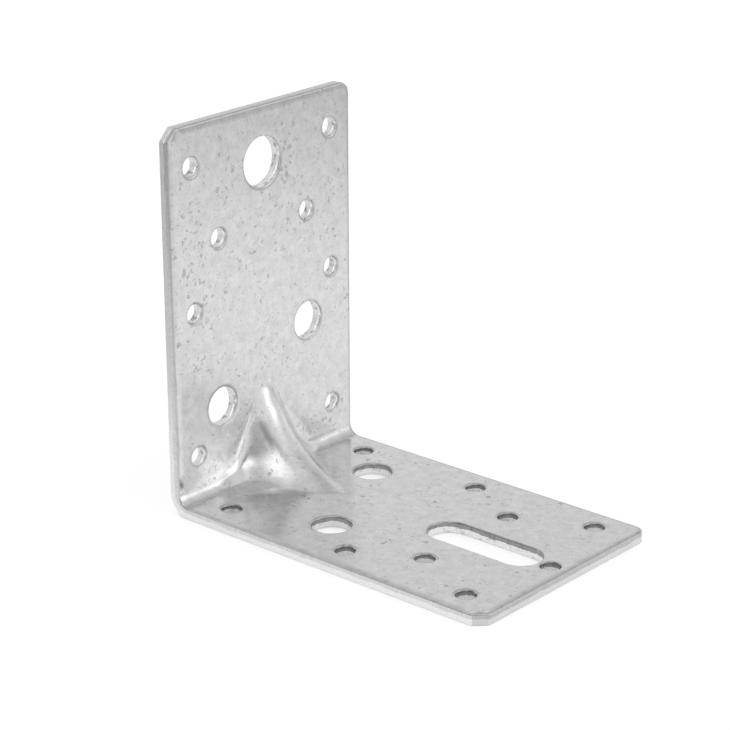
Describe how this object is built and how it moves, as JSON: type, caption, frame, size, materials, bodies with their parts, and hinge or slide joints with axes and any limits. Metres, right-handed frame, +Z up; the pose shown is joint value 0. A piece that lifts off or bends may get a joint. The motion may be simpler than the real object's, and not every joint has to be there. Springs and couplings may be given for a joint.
{
  "type": "angle bracket",
  "caption": "Galvanised steel angle bracket, folded and punched, with a rib pressed across the fold, nail and bolt holes and an adjusting slot, for joining timbers at a right angle.",
  "frame": {"origin": "centre of the base flange's underside, which is the bottom centre of the bounding box", "axes": "+X from the heel out along the base flange, Y across the width, +Z up the upright flange"},
  "size_m": [0.1, 0.065, 0.1],
  "materials": {
    "galvanised_steel": "galvanised"
  },
  "bodies": {
    "root": {"angle_bracket": "galvanised_steel"}
  },
  "joints": []
}
